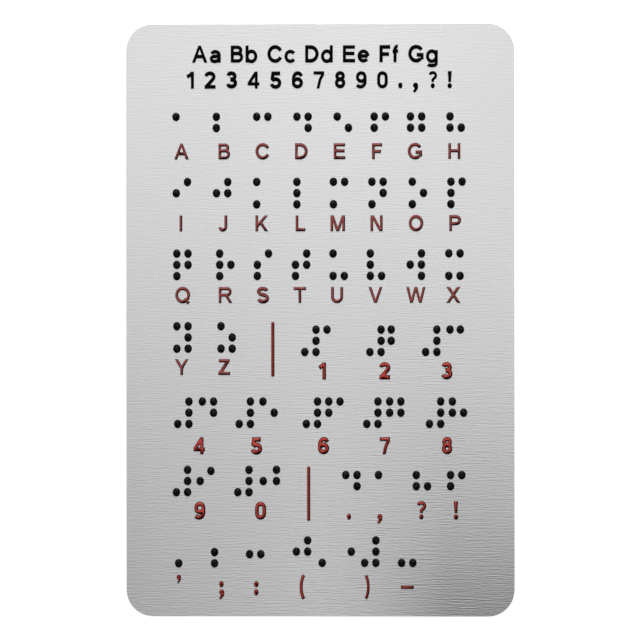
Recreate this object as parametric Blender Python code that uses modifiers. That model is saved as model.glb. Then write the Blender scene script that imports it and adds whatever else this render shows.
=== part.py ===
"""Braille alphabet board.

A black backing plate carries one domed pin for every braille dot. The pins stand
through the holes of a brushed face sheet, and two red divider bars sit in slots
of the sheet. The board lies on its back: +Z points out of the face, +Y points up
the board as it is read, and the origin is the centre of the back.
"""

import math

import bmesh
import bpy
from mathutils import Matrix, Vector

# Outline of the board
BOARD_WIDTH = 0.0865
BOARD_LENGTH = 0.132
CORNER_RADIUS = 0.006

# Layers, from the back to the face
BACKING_THICKNESS = 0.002
BACKING_SETBACK = 0.0004
BACKING_EDGE_EASE = 0.0003
BOND_LINE = 0.0003
SHEET_THICKNESS = 0.001
SHEET_EDGE_EASE = 0.00025

# Braille dots
DOT_PITCH = 0.0025
DOT_DIAMETER = 0.0016
DOT_HEIGHT = 0.0007
DOT_CLEARANCE = 0.00006

# Divider bars
BAR_WIDTH = 0.00066
BAR_LENGTH = 0.01213
BAR_END_RADIUS = 0.00028
BAR_RISE = 0.0005
BAR_EDGE_EASE = 0.00015
BAR_CLEARANCE = 0.00008

# How far a cut runs past a face, and how deep a pin is rooted in its plate
OVERRUN = 0.0005

# Points closer than this are one point
WELD_DISTANCE = 0.000001

# Colours
BLACK = (0.012, 0.012, 0.013)
METAL = (0.70, 0.70, 0.70)
RED = (0.32, 0.05, 0.045)

# Facets of the round shapes, and the angle from which an edge is shaded sharp
DOT_SIDES = 7
CORNER_SEGMENTS = 6
BAR_END_SEGMENTS = 3
SHARP_ANGLE = math.radians(30)
RIM_ANGLE = math.radians(60)

# Heights that the layers add up to
BACKING_TOP = BACKING_THICKNESS
SHEET_BOTTOM = BACKING_TOP + BOND_LINE
SHEET_TOP = SHEET_BOTTOM + SHEET_THICKNESS

# The middle ring of a dome, as shares of the dome's radius and of its height
DOME_RING_SHARES = (0.68, 0.72)

# The most that a rounded corner may take of the block's narrow side
CORNER_LIMIT_SHARE = 0.45

# The braille code starts from ten cells, which the later letters add dots to
FIRST_LETTERS = "ABCDEFGHIJ"
FIRST_CELLS = ("1", "12", "14", "145", "15", "124", "1245", "125", "24", "245")
NUMBER_SIGN = "number sign"
BRACKET_SIGN = "bracket sign"

# One entry for each run of cells. First comes the share of the board's length
# from its top edge to the run's top dots, then each cell's character with the
# share of the board's width from its left edge to the cell's left dots.
CELL_RUN_SHARES = (
    (0.1568, (("A", 0.1290), ("B", 0.2329), ("C", 0.3368), ("D", 0.4406),
              ("E", 0.5444), ("F", 0.6395), ("G", 0.7329), ("H", 0.8345))),
    (0.2668, (("I", 0.1295), ("J", 0.2333), ("K", 0.3368), ("L", 0.4403),
              ("M", 0.5344), ("N", 0.6336), ("O", 0.7374), ("P", 0.8367))),
    (0.3877, (("Q", 0.1307), ("R", 0.2413), ("S", 0.3383), ("T", 0.4365),
              ("U", 0.5334), ("V", 0.6293), ("W", 0.7319), ("X", 0.8312))),
    (0.5103, (("Y", 0.1307), ("Z", 0.2445))),
    (0.5161, (("1", 0.5176), ("2", 0.6829), ("3", 0.8341))),
    (0.6374, (("4", 0.1963), ("5", 0.3525), ("6", 0.5220), ("7", 0.6787), ("8", 0.8401))),
    (0.7527, (("9", 0.1904), ("0", 0.3531))),
    (0.7425, ((".", 0.5658), (",", 0.6499), ("?", 0.7472), ("!", 0.8353))),
    (0.8727, (("'", 0.1349), (";", 0.2274))),
    (0.8762, ((":", 0.3178),)),
    (0.8718, (("(", 0.4673), (")", 0.6142), ("-", 0.7092))),
)

# Digits and brackets have a sign cell before them. The share is the distance
# between the left dots of the two cells, in dot pitches.
SIGN_DISTANCE_SHARES = {
    "1": 1.98, "2": 1.90, "3": 2.17, "4": 2.20, "5": 2.12, "6": 2.00,
    "7": 2.04, "8": 2.04, "9": 2.12, "0": 2.27, "(": 2.00, ")": 2.19,
}

# Cells whose two columns stand closer or wider than the dot pitch
COLUMN_SPREAD_SHARES = {"3": 0.92, "9": 0.96, "0": 1.18, "(": 1.30}

# Cells whose top dots sit lower than their row, as a share of the dot pitch
TOP_DOT_DROP_SHARES = {"9": 0.10}

# Middles of the divider bars: from the left edge and from the top edge
UPPER_BAR_SHARES = (0.3780, 0.5492)
LOWER_BAR_SHARES = (0.4700, 0.7929)


def clear_scene():
    """Remove every object that a new scene starts with."""
    for obj in list(bpy.data.objects):
        bpy.data.objects.remove(obj, do_unlink=True)


def make_collection(name):
    collection = bpy.data.collections.new(name)
    bpy.context.scene.collection.children.link(collection)
    return collection


def make_material(name, color, roughness, metallic):
    material = bpy.data.materials.new(name)
    material.use_nodes = True
    shader = material.node_tree.nodes["Principled BSDF"]
    shader.inputs["Base Color"].default_value = (*color, 1)
    shader.inputs["Roughness"].default_value = roughness
    shader.inputs["Metallic"].default_value = metallic
    material.diffuse_color = (*color, 1)
    return material


def board_place(shares):
    """Point at these shares of the width and length, from the top left corner."""
    across, down = shares
    return Vector((BOARD_WIDTH * (across - 0.5), BOARD_LENGTH * (0.5 - down), 0))


def braille_code():
    """Dots of every character, worked out from the first ten letters."""
    code = dict(zip(FIRST_LETTERS, FIRST_CELLS))
    for letter, first in zip("KLMNOPQRST", FIRST_LETTERS):
        code[letter] = code[first] + "3"
    for letter, first in zip("UVXYZ", FIRST_LETTERS):
        code[letter] = code[first] + "36"
    code["W"] = code["J"] + "6"
    for digit, first in zip("1234567890", FIRST_LETTERS):
        code[digit] = code[first]
    code.update({NUMBER_SIGN: "3456", BRACKET_SIGN: "5", "(": "126", ")": "3456"})
    code.update({".": "256", ",": "2", "?": "236", "!": "235"})
    code.update({"'": "3", ";": "23", ":": "25", "-": "36"})
    return code


def board_cells():
    """Every cell's character and the place of its dot 1, sign cells among them."""
    cells = []
    for top_share, run in CELL_RUN_SHARES:
        for character, left_share in run:
            corner = board_place((left_share, top_share))
            if character in SIGN_DISTANCE_SHARES:
                sign = BRACKET_SIGN if character in "()" else NUMBER_SIGN
                distance = DOT_PITCH * SIGN_DISTANCE_SHARES[character]
                cells.append((sign, corner - Vector((distance, 0, 0))))
            cells.append((character, corner))
    return cells


def dot_places():
    """Centre of every dot: dots 1 to 3 run down a cell's left column, 4 to 6 its right."""
    code = braille_code()
    places = []
    for character, corner in board_cells():
        spread = DOT_PITCH * COLUMN_SPREAD_SHARES.get(character, 1)
        drop = DOT_PITCH * TOP_DOT_DROP_SHARES.get(character, 0)
        for dot in code[character]:
            column, row = divmod(int(dot) - 1, 3)
            down = row * DOT_PITCH if row else drop
            places.append(corner + Vector((column * spread, -down, 0)))
    return places


def rounded_block(name, width, length, bottom, top, radius, segments):
    """Upright block between two heights, with its four corners rounded."""
    height = top - bottom
    radius = min(radius, CORNER_LIMIT_SHARE * width)
    size = Matrix.Diagonal((width, length, height, 1))
    lift = Matrix.Translation((0, 0, bottom + height / 2))
    bm = bmesh.new()
    bmesh.ops.create_cube(bm, size=1, matrix=lift @ size)
    corners = [e for e in bm.edges if abs(e.verts[0].co.z - e.verts[1].co.z) > height / 2]
    bmesh.ops.bevel(bm, geom=corners, offset=radius, segments=segments,
                    profile=0.5, affect="EDGES")
    mesh = bpy.data.meshes.new(name)
    bm.to_mesh(mesh)
    bm.free()
    return bpy.data.objects.new(name, mesh)


def turned_mesh(name, profile, sides):
    """Closed mesh turned from a profile of (radius, height) that ends on the axis."""
    bm = bmesh.new()
    points = [bm.verts.new((radius, 0, height)) for radius, height in profile]
    edges = [bm.edges.new(pair) for pair in zip(points, points[1:])]
    bmesh.ops.spin(bm, geom=points + edges, cent=(0, 0, 0), axis=(0, 0, 1),
                   angle=math.tau, steps=sides)
    bmesh.ops.remove_doubles(bm, verts=bm.verts, dist=WELD_DISTANCE)
    bmesh.ops.recalc_face_normals(bm, faces=bm.faces)
    mesh = bpy.data.meshes.new(name)
    bm.to_mesh(mesh)
    bm.free()
    return mesh


def repeated(name, mesh, places):
    """One object that holds a copy of the mesh at every place."""
    bm = bmesh.new()
    for place in places:
        first = len(bm.verts)
        bm.from_mesh(mesh)
        bm.verts.ensure_lookup_table()
        bmesh.ops.translate(bm, vec=place, verts=bm.verts[first:])
    joined = bpy.data.meshes.new(name)
    bm.to_mesh(joined)
    bm.free()
    bpy.data.meshes.remove(mesh)
    return bpy.data.objects.new(name, joined)


def as_cutter(obj, collection):
    collection.objects.link(obj)
    obj.display_type = "WIRE"
    obj.hide_render = True
    return obj


def add_ease(obj, width):
    """Take the sharp rim off a block's two flat faces."""
    ease = obj.modifiers.new("eased rim", "BEVEL")
    ease.width = width
    ease.segments = 1
    ease.limit_method = "ANGLE"
    ease.angle_limit = RIM_ANGLE


def add_boolean(obj, name, operation, other):
    boolean = obj.modifiers.new(name, "BOOLEAN")
    boolean.operation = operation
    boolean.solver = "EXACT"
    boolean.object = other


def finish(obj, collection, parent, material):
    """Link a part, make its modifiers part of its mesh and smooth its round sides."""
    collection.objects.link(obj)
    obj.parent = parent
    bpy.context.view_layer.update()
    graph = bpy.context.evaluated_depsgraph_get()
    shaped = bpy.data.meshes.new_from_object(obj.evaluated_get(graph))
    obj.modifiers.clear()
    obj.data = shaped
    shaped.name = obj.name
    shaped.materials.clear()
    shaped.materials.append(material)
    shaped.shade_smooth()
    shaped.set_sharp_from_angle(angle=SHARP_ANGLE)


def build_backing_plate(places, cutters):
    """Black plate with the domed pins rooted in its front face."""
    plate = rounded_block("backing_plate", BOARD_WIDTH - 2 * BACKING_SETBACK,
                          BOARD_LENGTH - 2 * BACKING_SETBACK, 0, BACKING_TOP,
                          CORNER_RADIUS - BACKING_SETBACK, CORNER_SEGMENTS)
    radius = DOT_DIAMETER / 2
    ring_radius, ring_height = DOME_RING_SHARES
    root = BACKING_TOP - OVERRUN
    profile = ((0, root), (radius, root), (radius, SHEET_TOP),
               (radius * ring_radius, SHEET_TOP + DOT_HEIGHT * ring_height),
               (0, SHEET_TOP + DOT_HEIGHT))
    pins = repeated("braille_pins", turned_mesh("braille_pin", profile, DOT_SIDES), places)
    add_ease(plate, BACKING_EDGE_EASE)
    add_boolean(plate, "pins", "UNION", as_cutter(pins, cutters))
    return plate


def build_face_sheet(places, bar_places, cutters):
    """Metal sheet with a hole for each pin and a slot for each divider bar."""
    sheet = rounded_block("face_sheet", BOARD_WIDTH, BOARD_LENGTH, SHEET_BOTTOM,
                          SHEET_TOP, CORNER_RADIUS, CORNER_SEGMENTS)
    radius = DOT_DIAMETER / 2 + DOT_CLEARANCE
    below = SHEET_BOTTOM - OVERRUN
    above = SHEET_TOP + OVERRUN
    profile = ((0, below), (radius, below), (radius, above), (0, above))
    holes = repeated("dot_holes", turned_mesh("dot_hole", profile, DOT_SIDES), places)
    add_ease(sheet, SHEET_EDGE_EASE)
    add_boolean(sheet, "dot holes", "DIFFERENCE", as_cutter(holes, cutters))
    for name, place in bar_places.items():
        slot = rounded_block(name + "_slot", BAR_WIDTH + 2 * BAR_CLEARANCE,
                             BAR_LENGTH + 2 * BAR_CLEARANCE, below, above,
                             BAR_END_RADIUS + BAR_CLEARANCE, BAR_END_SEGMENTS)
        slot.location = place
        add_boolean(sheet, name + " slot", "DIFFERENCE", as_cutter(slot, cutters))
    return sheet


def build_divider_bar(name, place):
    """Red bar that fills its slot from the bond line up and stands proud of it."""
    bar = rounded_block(name, BAR_WIDTH, BAR_LENGTH, SHEET_BOTTOM, SHEET_TOP + BAR_RISE,
                        BAR_END_RADIUS, BAR_END_SEGMENTS)
    bar.location = place
    add_ease(bar, BAR_EDGE_EASE)
    return bar


def main():
    clear_scene()
    board = make_collection("braille_alphabet_board")
    cutters = make_collection("cutters")
    root = bpy.data.objects.new("board_frame", None)
    board.objects.link(root)
    places = dot_places()
    bar_places = {"upper_divider_bar": board_place(UPPER_BAR_SHARES),
                  "lower_divider_bar": board_place(LOWER_BAR_SHARES)}
    finish(build_backing_plate(places, cutters), board, root,
           make_material("black_plastic", BLACK, 0.25, 0))
    finish(build_face_sheet(places, bar_places, cutters), board, root,
           make_material("brushed_metal", METAL, 0.35, 1))
    for name, place in bar_places.items():
        finish(build_divider_bar(name, place), board, root,
               make_material(name + "_red", RED, 0.35, 0))


main()
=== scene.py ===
"""Braille alphabet board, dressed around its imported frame.

The board lies on its back, face up. Lengths are in metres. Places on the face are
in millimetres from the board's left and top edges, and strokes of the characters
are on a grid of 100 steps to the height of a capital.
"""

import math

import bmesh
import bpy
import numpy as np
from bpy.props import FloatProperty, FloatVectorProperty, IntProperty, PointerProperty
from bpy.types import Operator, Panel, PropertyGroup
from mathutils import Euler, Matrix, Vector, geometry


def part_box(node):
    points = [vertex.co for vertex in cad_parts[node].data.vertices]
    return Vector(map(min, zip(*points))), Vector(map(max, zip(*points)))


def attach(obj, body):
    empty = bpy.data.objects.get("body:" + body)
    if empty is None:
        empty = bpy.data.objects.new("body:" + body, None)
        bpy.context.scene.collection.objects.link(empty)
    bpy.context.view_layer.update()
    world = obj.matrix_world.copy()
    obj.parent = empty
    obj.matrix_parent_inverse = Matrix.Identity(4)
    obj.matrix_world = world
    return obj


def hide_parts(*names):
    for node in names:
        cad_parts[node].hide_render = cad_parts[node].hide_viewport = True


bl_info = {
    "name": "Braille alphabet board",
    "version": (1, 0, 0),
    "blender": (4, 5, 0),
    "location": "3D View > Sidebar > Braille board",
    "description": "Builds the pieces of a braille alphabet board and their finishes",
    "category": "Object",
}

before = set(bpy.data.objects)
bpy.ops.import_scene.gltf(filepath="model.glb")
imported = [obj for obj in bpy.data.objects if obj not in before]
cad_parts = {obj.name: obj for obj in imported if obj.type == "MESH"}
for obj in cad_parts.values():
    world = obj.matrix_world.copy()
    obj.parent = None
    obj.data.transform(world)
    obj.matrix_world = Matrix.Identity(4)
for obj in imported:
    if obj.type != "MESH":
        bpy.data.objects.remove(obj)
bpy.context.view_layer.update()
SHEET_LOW, SHEET_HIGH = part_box("face_sheet")
PINS_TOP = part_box("backing_plate")[1].z

MM = 0.001
BODY = "root"
UNIT_GRID = 100

# Characters
# Centre lines of the strokes. Strokes are parted by |, and each is a row of points
# x,y and of arcs x,y,rx,ry,from,to in degrees. A point x,y,h has its own half
# width h, and *s at the start of a stroke makes the whole stroke s times as heavy. A
# filled oval is @x,y,rx,ry.
STROKES = {
    "A": "8,0,9.3 44,100,7|80,0,9.3 44,100,7|18,35 70,35",
    "B": "8.5,0 8.5,100|8.5,91.5 39,91.5 39,72.5,20,19,90,-90 8.5,53.5"
         "|8.5,53.5 42,53.5 42,31,22,22.5,90,-90 8.5,8.5",
    "C": "*1.07 45,50,36.3,43,27,333",
    "D": "8.5,0 8.5,100|*1.07 8.5,91.5 32,91.5 32,50,37.5,41.5,90,-90 8.5,8.5",
    "E": "8.5,0 8.5,100|8.5,91.5 71,91.5|8.5,52 68,52|8.5,8.5 72.5,8.5",
    "F": "*1.06 8.5,0 8.5,100|*1.05 8.5,91.5 63,91.5|*1.05 8.5,48 56,48",
    "G": "*1.08 45.5,50,37,43,33,314|*1.07 48,43 79.5,43 79.5,14",
    "H": "8.5,0 8.5,100|66.5,0 66.5,100|8.5,52 66.5,52",
    "I": "8.75,0 8.75,100",
    "J": "*1.07 46.5,100 27.5,29,19,22,0,-172",
    "K": "8.5,0 8.5,100|8.5,28 68,100|31,57 69.5,0",
    "L": "8.5,0 8.5,100|8.5,8.5 60.5,8.5",
    "M": "8.5,0 8.5,100|82,0 82,100|11,100 45.25,0|79.5,100 45.25,0",
    "N": "8.5,0 8.5,100|67.5,0 67.5,100|10.5,100 65.5,0",
    "O": "*1.07 44.75,50,36.25,43,0,360",
    "P": "8.5,0 8.5,100|*1.07 8.5,91.5 41.5,91.5 41.5,69,23,22.5,90,-90 8.5,46.5",
    "Q": "*1.07 45.75,50,37.25,43,0,360|54,25 85,-4",
    "R": "8.5,0 8.5,100|8.5,91.5 50,91.5 50,70.5,22,21,90,-90 8.5,49.5|45,50 76,0",
    "S": "*1.21 37,72,26,19.4,12,245 39,28,28,21,65,-168",
    "T": "0,91.5 77.5,91.5|38.75,0 38.75,95",
    "U": "*1.07 8.5,100 37,36,28.5,29,180,360 65.5,100",
    "V": "9,100 43.5,0|78,100 43.5,0",
    "W": "*0.95 9,100 33,0|*0.95 33,0 60.5,100|*0.95 60.5,100 88,0|*0.95 88,0 112,100",
    "X": "*1.09 10,100 77,0|*1.09 76,100 9,0",
    "Y": "10,100 43.5,43|77,100 43.5,43|43.5,0 43.5,46",
    "Z": "*1.03 4,91 71.5,91|*1.19 63,91.5 12,8.5|*1.03 0,8.5 74.5,8.5",
    "a": "31,45,23,21.5,160,0 54,0|54,39 28,21.5,21,16,80,330 54,23",
    "b": "7,0 7,100|33,36,26,31,0,360",
    "c": "33,36,26,31,35,325",
    "d": "59,0 59,100|33,36,26,31,0,360",
    "e": "8,37 59,37|33,37,26,30,0,322",
    "f": "15,0 29,79,14,15.5,180,78|0,66 34,66",
    "g": "59,73 33,-8,26,13.5,0,-155|33,36,26,31,0,360",
    "1": "35,0 35,100|2,70 19,79 34,97",
    "2": "*1.07 32.5,70.5,23.5,22,172,-38 11,10|*1.04 0,9 66,9",
    "3": "*1.13 29,73,20.5,19.2,168,-90 22,53.5"
         "|*1.13 22,52 29.5,52.5 29.5,31.5,23.5,21.2,90,-168",
    "4": "*0.94 51,0 51,100|*0.94 47,93 9,31|*0.92 0,27 70,27",
    "5": "*1.11 60,90.5 17,90.5 12,50|*1.11 32,31.5,24.5,24,148,-168",
    "6": "*1.06 34.5,56.5,25.5,36,28,180 9,32|*1.06 32.5,32.5,23.5,23.2,0,360",
    "7": "*0.92 -0.5,93 63.5,93|*0.92 57,88 39,52 26,0",
    "8": "*1.05 30.5,74,19,18.5,0,360|*1.05 30.5,31.5,21.5,22.2,0,360",
    "9": "31.5,67,22.5,25.5,0,360|54.5,67 27,40,27.5,32.5,0,-140",
    "0": "31.5,66,22.5,26,0,180 31.5,34,22.5,26,180,360 54,66",
    ".": "@13,17,12.6,17.8",
    ",": "@16,17,15,17|23,13,8.5 21,0,8.5 11,-14,7.5 4,-21,5",
    "?": "*0.82 25.5,74,17.5,17.5,165,-45 25,50 25,36|@25,15,12,15",
    "!": "13,100,12 13,36,7.5|@13,15,13,15.5",
    ":": "@13,17,13.5,18.5|@13,64,13.5,18.5",
    ";": "@14,64,13.5,18.5|@16,17,15,17|23,13,8.5 21,0,8.5 11,-14,7.5 4,-21,5",
    "(": "*0.87 50,0,43,86,122,238",
    ")": "*0.76 -13,0,41,86,57,-57",
    "-": "*0.81 0,-0.8 79,-0.8",
    "'": "@15,20,13,15|20,17,8 19,2,6.5 8,-15,3.5",
}
# Degrees between the points of an arc, and how near two points are one, on the grid
ARC_STEP = 12
SAME_POINT = 0.001

# Rows beside an outline or a stroke's end, as shares of the half width, and the share
# at which the rounded shoulder reaches its full height
SHOULDER_ROWS = (0.07, 0.22, 0.5, 1.0)
SHOULDER_REACH = 0.92
# The half width that the centre lines are placed for, and how much thicker level
# strokes are than upright ones
GRID_HALF = 8.5
PEN_HEIGHT = 1.2
# The least slope of a straight stroke that is cut level at its end, and how much longer
# than its half width a stroke's corner may be
CUT_SLOPE = 0.3
MITRE_LIMIT = 1.6

# Each mesh says at each point how much of the red lacquer shows over the dark colour. The
# rims are dark all round, and the flanks that face the shaded way, down and to the right,
# are dark deeper in as painted shade: for each kind of character, how deep on flanks that
# face away from the shaded way and on flanks that face it, then the run in which the red
# closes and its unevenness
COVER = "lacquer cover"
SHADED_WAY = (0.42, -0.91)
DARK_FLANKS = (0.15, 1.0)
DARK_DIGIT_FLANKS = (0.3, 1.08)
DARK_MARK_FLANKS = (0.2, 1.1)
DARK_DASH_FLANKS = (0.4, 1.4)
COVER_RUN = 0.3
COVER_WAVER = 0.35

# One row of the face for each entry: the base line, then the characters with the
# middle of each. All in millimetres.
LETTER_ROWS = (
    (30.20, "ABCDEFGH", (12.37, 21.91, 30.41, 39.09, 47.60, 55.94, 64.37, 73.14)),
    (46.24, "IJKLMNOP", (12.23, 21.58, 30.28, 38.89, 47.19, 55.83, 64.61, 73.33)),
    (62.20, "QRSTUVWX", (12.61, 22.19, 30.53, 38.74, 47.03, 55.58, 64.57, 72.91)),
    (78.25, "YZ", (12.37, 21.85)),
)
DIGIT_ROWS = (
    (79.27, "123", (43.70, 57.63, 71.44)),
    (95.92, "45678", (16.28, 29.04, 44.00, 57.70, 71.49)),
    (110.47, "90", (16.39, 29.95)),
)
MARK_ROWS = (
    (110.45, ".,", (49.63, 56.51)),
    (127.30, ";:", (21.27, 28.97)),
    (124.07, "'", (11.69,)),
    (125.46, "()", (39.26, 53.67)),
)
DASH_ROWS = (
    (125.46, "-", (62.63,)),
)
TALL_MARK_ROWS = (
    (110.45, "?!", (65.80, 73.45)),
)
HEADING_ROWS = (
    (8.65, "Aa Bb Cc Dd Ee Ff Gg", (14.70, 69.49)),
    (14.45, "1 2 3 4 5 6 7 8 9 0 . , ? !", (13.44, 72.63)),
)
# Room between two characters of a word, on the grid
HEADING_LETTER_GAP = 13


def measure(name, default, description):
    """A length that the user can change."""
    return FloatProperty(name=name, default=default, description=description,
                         unit="LENGTH")


def surface_colour(name, default, description):
    """A colour that the user can change."""
    return FloatVectorProperty(name=name, default=default, description=description,
                               subtype="COLOR")


class BoardSizes(PropertyGroup):
    """Sizes of the pieces."""

    corner_radius: measure("Corner radius", 0.006, "Rounding of the board's four corners")
    rim_ease: measure("Rim ease", 0.00002, "Width of the eased rims of sheet and plate")
    hole_diameter: measure(
        "Hole diameter", 0.00173, "Width of the hole that each bead sits in")
    dot_stretch: FloatProperty(
        name="Dot stretch", description="How much taller than wide holes and beads are",
        default=1.14, min=1)
    hole_deburr: measure(
        "Hole deburr", 0.00002, "Width of the bright ring cut round each hole")
    bead_diameter: measure("Bead diameter", 0.00162, "Width of a braille bead")
    bead_sides: IntProperty(
        name="Bead sides", description="Facets round a bead", default=14, min=6)
    bead_settle: measure(
        "Bead settle", 0.00002, "How much deeper than the rest a bead may sit")
    bond_line: measure("Bond line", 0.0003, "Thickness of the adhesive film")
    film_setback: measure(
        "Film setback", 0.0008, "How far the film ends inside the sheet's rim")
    film_hole_diameter: measure(
        "Film hole diameter", 0.0019, "Width of the film's holes round the beads")
    slot_clearance: measure(
        "Slot clearance", 0.00001, "Room round a divider bar in its slot")
    lacquer_build: measure(
        "Lacquer build", 0.000026, "How much the lacquer widens a bar at each side")
    bar_crown: measure("Bar crown", 0.00028, "Rounding along the top of a divider bar")
    letter_height: measure("Letter height", 0.00359, "Height of a capital letter")
    digit_height: measure("Digit height", 0.00385, "Height of a digit")
    tall_digit_height: measure(
        "Tall digit height", 0.0040, "Height of the last two digits")
    tall_mark_height: measure(
        "Tall mark height", 0.0041, "Height of the question and exclamation marks")
    heading_height: measure(
        "Heading height", 0.00385, "Height of a capital in the heading")
    print_rise: measure(
        "Print rise", 0.0005, "How far the characters stand proud of the face")
    print_rim: measure("Print rim", 0.00002, "Upright rim at the foot of a character")
    print_root: measure(
        "Print root", 0.00003, "How deep a character is bonded into the face")


class BoardColours(PropertyGroup):
    """Colours of the finishes."""

    metal: surface_colour("Metal", (0.80, 0.80, 0.80), "Brushed face sheet")
    plate: surface_colour(
        "Backing plate", (0.014, 0.014, 0.015), "Satin black plate and film")
    bead: surface_colour("Beads", (0.006, 0.006, 0.006), "Glossy black beads")
    heading: surface_colour("Heading", (0.0015, 0.0015, 0.0015), "Black raised characters")
    letters: surface_colour("Letters", (0.29, 0.059, 0.056), "Dull red letters")
    digits: surface_colour("Digits", (0.49, 0.052, 0.041), "Bright red digits and marks")
    bars: surface_colour("Divider bars", (0.28, 0.035, 0.028), "Red lacquer of the bars")
    # The two dark colours show on the rims of the red characters and as painted shade on
    # the flanks of characters and bars that face the shaded way.
    core: surface_colour(
        "Core", (0.007, 0.0006, 0.0006), "Dark flanks under the red lacquer")
    digit_dark_rim_and_shade: surface_colour(
        "Digit core", (0.024, 0.0015, 0.0012), "Dark red flanks of the digits")
    floor: surface_colour("Floor", (0.85, 0.85, 0.85), "Pale floor under the board")


def sizes():
    return bpy.context.scene.board_sizes


def colours():
    return bpy.context.scene.board_colours


def maths(operation, swapped=False):
    """A method of Value that adds a Math node, with its two inputs swapped if asked."""
    def method(value, other=None):
        inputs = {0: other, 1: value} if swapped else {0: value, 1: other}
        if other is None:
            del inputs[1]
        return value.nodes.add("ShaderNodeMath", inputs, operation=operation)
    return method


class Value:
    """A node's output that can be written in a sum."""

    def __init__(self, nodes, socket):
        self.nodes = nodes
        self.socket = socket

    def __getitem__(self, name):
        """Another output of the same node."""
        return Value(self.nodes, self.socket.node.outputs[name])

    __add__, __radd__ = maths("ADD"), maths("ADD", swapped=True)
    __sub__, __rsub__ = maths("SUBTRACT"), maths("SUBTRACT", swapped=True)
    __mul__, __rmul__ = maths("MULTIPLY"), maths("MULTIPLY", swapped=True)
    __truediv__, __rtruediv__ = maths("DIVIDE"), maths("DIVIDE", swapped=True)
    __gt__ = maths("GREATER_THAN")
    power = maths("POWER")
    at_least = maths("MAXIMUM")
    at_most = maths("MINIMUM")
    floor = maths("FLOOR")
    sine = maths("SINE")
    cosine = maths("COSINE")


class Nodes:
    """Adds nodes to one tree."""

    def __init__(self, tree):
        self.tree = tree

    def fill(self, node, inputs):
        """Links or sets sockets of a node that is there."""
        for name, value in inputs.items():
            if isinstance(value, Value):
                self.tree.links.new(value.socket, node.inputs[name])
            else:
                node.inputs[name].default_value = value

    def add(self, kind, inputs=None, output=0, **settings):
        """A node of this kind, with its settings made first and its sockets filled."""
        node = self.tree.nodes.new(kind)
        for name, value in settings.items():
            setattr(node, name, value)
        self.fill(node, inputs or {})
        return Value(self, node.outputs[output]) if node.outputs else None

    def vector(self, x=0.0, y=0.0, z=0.0):
        return self.add("ShaderNodeCombineXYZ", {"X": x, "Y": y, "Z": z})

    def apart(self, vector):
        """The X, Y and Z of a vector."""
        spot = self.add("ShaderNodeSeparateXYZ", {0: vector})
        return [spot[axis] for axis in "XYZ"]

    def noise(self, place, grains, detail=2.0, roughness=0.5):
        """Soft noise from 0 to 1, with this many grains to the metre, or one number of
        them for each axis."""
        grains = grains if isinstance(grains, tuple) else (grains,) * 3
        place = self.add("ShaderNodeVectorMath", {0: place, 1: grains},
                         operation="MULTIPLY")
        return self.add("ShaderNodeTexNoise", {
            "Vector": place, "Scale": 1.0, "Detail": detail, "Roughness": roughness})

    def tinted(self, low, high, share):
        """A colour between two, by a share from 0 to 1."""
        return self.add("ShaderNodeMix", {0: share, 6: low, 7: high}, output=2,
                        data_type="RGBA")


def shade(colour, factor=1.0):
    """The colour made lighter or darker, within what a surface can reflect."""
    return (*(min(1.0, channel * factor) for channel in colour), 1.0)


def uneven(base, *patterns):
    """A base that goes up and down with each noise by half of its amount."""
    for noise, amount in patterns:
        base = base + (noise - 0.5) * amount
    return base


def new_material(name, colour):
    """An empty material with its shader, and the place that its patterns read."""
    material = bpy.data.materials.new(name)
    material.use_nodes = True
    material.diffuse_color = (*colour, 1)
    nodes = Nodes(material.node_tree)
    shader = material.node_tree.nodes["Principled BSDF"]
    return material, nodes, shader, nodes.add("ShaderNodeTexCoord", output="Object")


def feed(nodes, shader, **inputs):
    """Links or sets the shader's sockets, which are named with _ for a space."""
    nodes.fill(shader, {name.replace("_", " "): value for name, value in inputs.items()})


def bump(nodes, height, depth, strength=1.0):
    """Small relief with this depth in metres."""
    return nodes.add("ShaderNodeBump",
                     {"Height": height, "Distance": depth, "Strength": strength})


# Brush strength at the lower edge and in the lower right corner, over that at the top
BRUSH_FOOT = 1.7
BRUSH_CORNER = 1.7
# Tone of the sheet: painted shade in the lower right corner, painted reflection as a paler
# right side above it and a paler band down the lower middle, and a left side with painted
# reflection at the top and painted shade at the foot.
# Places across are shares of the width, from the left
CORNER_PAINTED_SHADE = 0.31
CORNER_START = 0.82
SIDE_PAINTED_REFLECTION = 1.0
BAND_PAINTED_REFLECTION = 0.16
BAND_MIDDLE = 0.5
BAND_HALF = 0.17
LEFT_PAINTED_REFLECTION = 0.06
LEFT_PAINTED_SHADE = 0.17
# How fast each of these fades towards the middle of the sheet, as a power
BRUSH_FADE = 4
CORNER_FADE = 6
SIDE_FADE = 3
LEFT_FADE = 6
# Tone of the sheet before its hairlines, grain, painted shade and painted reflection, and
# the least and the most that it may become
CLEAN_TONE = 0.975
TONES = (0.3, 1.25)
# How much the fine grain and the broad cloud change the tone, and grains to the metre
GRAIN = 0.11
FINE_GRAINS = 4400
CLOUD = 0.04
CLOUD_GRAINS = (45, 60, 60)
# Roughness between the hairlines, and what a bright hairline adds to it
METAL_ROUGHNESS = 0.34
LINE_ROUGHNESS = 0.12

# Hairlines: rows to the metre down the sheet, the share of a row they are shifted by,
# grains to the metre along the sheet, and strength
HAIRLINES = (
    (4490, 0.93, 150, 0.5),
    (4490, 0.43, 210, 0.1),
    (14000, 0.0, 500, 0.13),
)
HAIRLINE_DETAIL = 3.0
HAIRLINE_ROUGHNESS = 0.84
# How far apart two rows read the noise
ROW_STEP = 7.37


def hairline(nodes, along, up, rows, shift, grains):
    """Straight rows, each bright or dark against the rows beside it."""
    row = (up * rows + shift).floor()
    below, here, above = (
        nodes.noise(nodes.vector(along * grains, (row + side) * ROW_STEP,
                                 rows + shift * ROW_STEP),
                    1, HAIRLINE_DETAIL, HAIRLINE_ROUGHNESS)
        for side in (-1, 0, 1))
    return here - (below + above) * 0.5


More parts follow.
